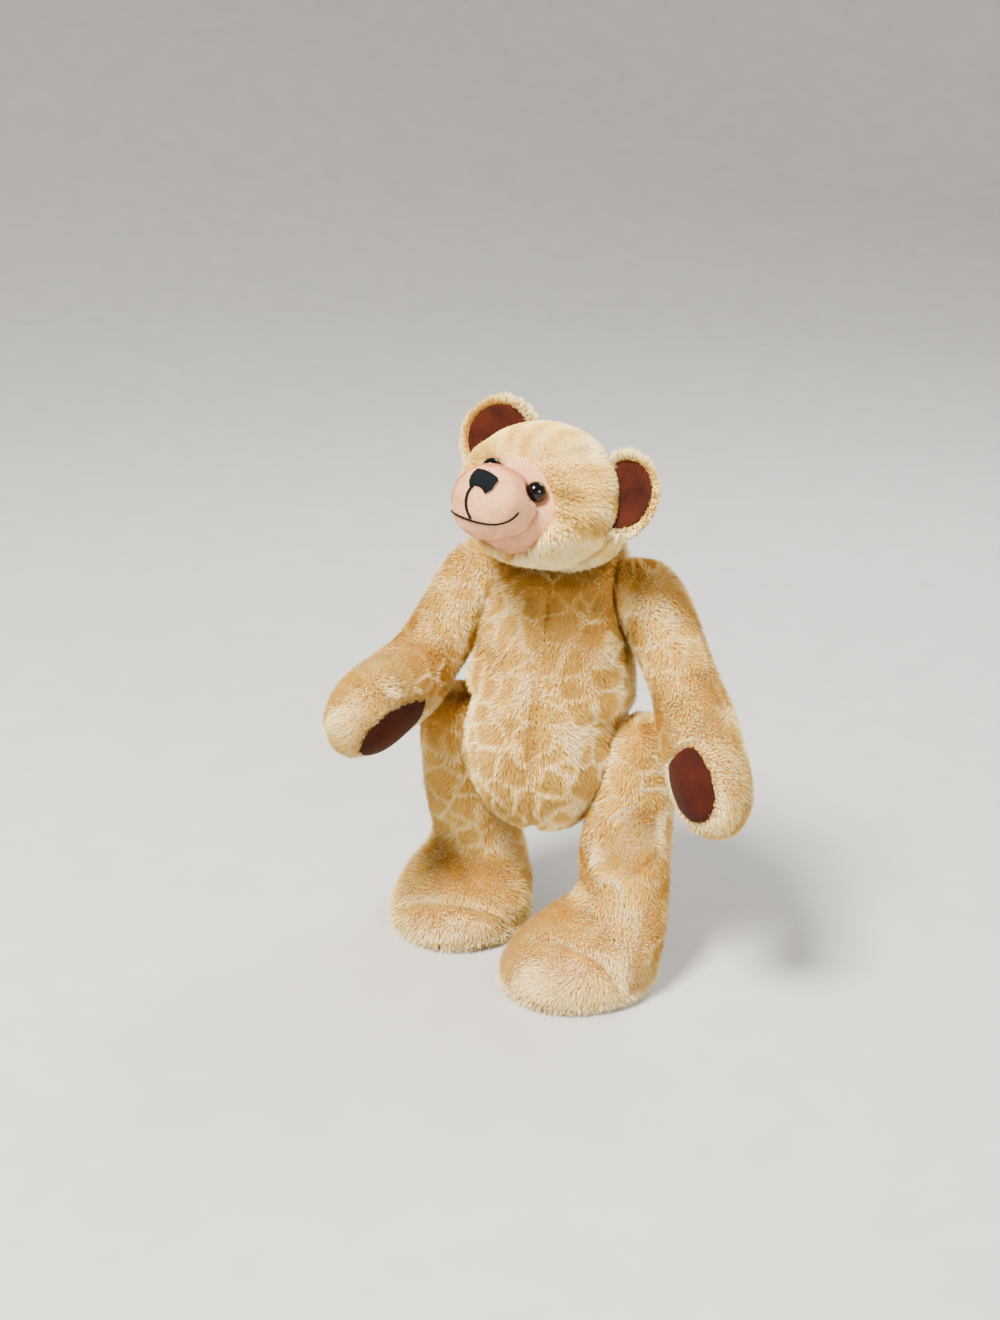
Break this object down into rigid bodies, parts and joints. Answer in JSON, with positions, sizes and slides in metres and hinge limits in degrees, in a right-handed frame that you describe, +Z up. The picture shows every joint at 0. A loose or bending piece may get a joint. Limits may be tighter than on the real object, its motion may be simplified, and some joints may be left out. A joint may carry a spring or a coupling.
{
  "type": "teddy bear",
  "caption": "Jointed plush teddy bear with disc-jointed head, arms and legs, suede paw and foot pads, cupped ears, glass eyes and stitched nose and smile.",
  "frame": {"origin": "on the floor under the middle of the bounding box", "axes": "+Z up along the standing bear; the bear faces -Y and its left side is +X"},
  "size_m": [0.2088, 0.141, 0.2794],
  "materials": {
    "mohair": "golden plush pile",
    "pink_nap": "short shorn nap",
    "brown_suede": "ultrasuede, matt",
    "black_thread": "satin stitch",
    "black_glass": "glossy, opaque",
    "hardboard": "pressed board",
    "steel": "bright zinc"
  },
  "bodies": {
    "torso": {"torso": "mohair", "neck_pin": "steel", "neck_torso_disc": "hardboard", "neck_torso_washer": "steel", "left_shoulder_pin": "steel", "left_shoulder_torso_disc": "hardboard", "left_shoulder_torso_washer": "steel", "right_shoulder_pin": "steel", "right_shoulder_torso_disc": "hardboard", "right_shoulder_torso_washer": "steel", "left_hip_pin": "steel", "left_hip_torso_disc": "hardboard", "left_hip_torso_washer": "steel", "right_hip_pin": "steel", "right_hip_torso_disc": "hardboard", "right_hip_torso_washer": "steel"},
    "head": {"head": "mohair", "muzzle": "pink_nap", "nose": "black_thread", "mouth_stitches": "black_thread", "left_eye": "black_glass", "left_eye_shank": "steel", "left_ear": "mohair", "left_ear_lining": "brown_suede", "right_eye": "black_glass", "right_eye_shank": "steel", "right_ear": "mohair", "right_ear_lining": "brown_suede", "neck_head_disc": "hardboard", "neck_head_washer": "steel"},
    "left_arm": {"left_arm": "mohair", "left_paw_pad": "brown_suede", "left_shoulder_arm_disc": "hardboard", "left_shoulder_arm_washer": "steel"},
    "left_leg": {"left_leg": "mohair", "left_foot_pad": "brown_suede", "left_hip_leg_disc": "hardboard", "left_hip_leg_washer": "steel"},
    "right_arm": {"right_arm": "mohair", "right_paw_pad": "brown_suede", "right_shoulder_arm_disc": "hardboard", "right_shoulder_arm_washer": "steel"},
    "right_leg": {"right_leg": "mohair", "right_foot_pad": "brown_suede", "right_hip_leg_disc": "hardboard", "right_hip_leg_washer": "steel"}
  },
  "joints": [
    {"name": "neck_swivel", "type": "hinge", "parent": "torso", "child": "head", "pos_m": [-0.01181, 0.03894, 0.20792], "axis": [0, -0.342, 0.9397], "range_deg": [-72, 108]},
    {"name": "left_shoulder_swing", "type": "hinge", "parent": "torso", "child": "left_arm", "pos_m": [0.01911, 0.03478, 0.18429], "axis": [-0.9816, -0.0331, -0.1879], "range_deg": [-45, 90]},
    {"name": "left_hip_swing", "type": "hinge", "parent": "torso", "child": "left_leg", "pos_m": [0.02648, 0.01959, 0.09817], "axis": [-0.9816, 0.0331, 0.1879], "range_deg": [-25, 65]},
    {"name": "right_shoulder_swing", "type": "hinge", "parent": "torso", "child": "right_arm", "pos_m": [-0.04273, 0.03478, 0.18429], "axis": [-0.9816, 0.0331, 0.1879], "range_deg": [0, 65]},
    {"name": "right_hip_swing", "type": "hinge", "parent": "torso", "child": "right_leg", "pos_m": [-0.05009, 0.01959, 0.09817], "axis": [-0.9816, -0.0331, -0.1879], "range_deg": [-25, 75]}
  ]
}
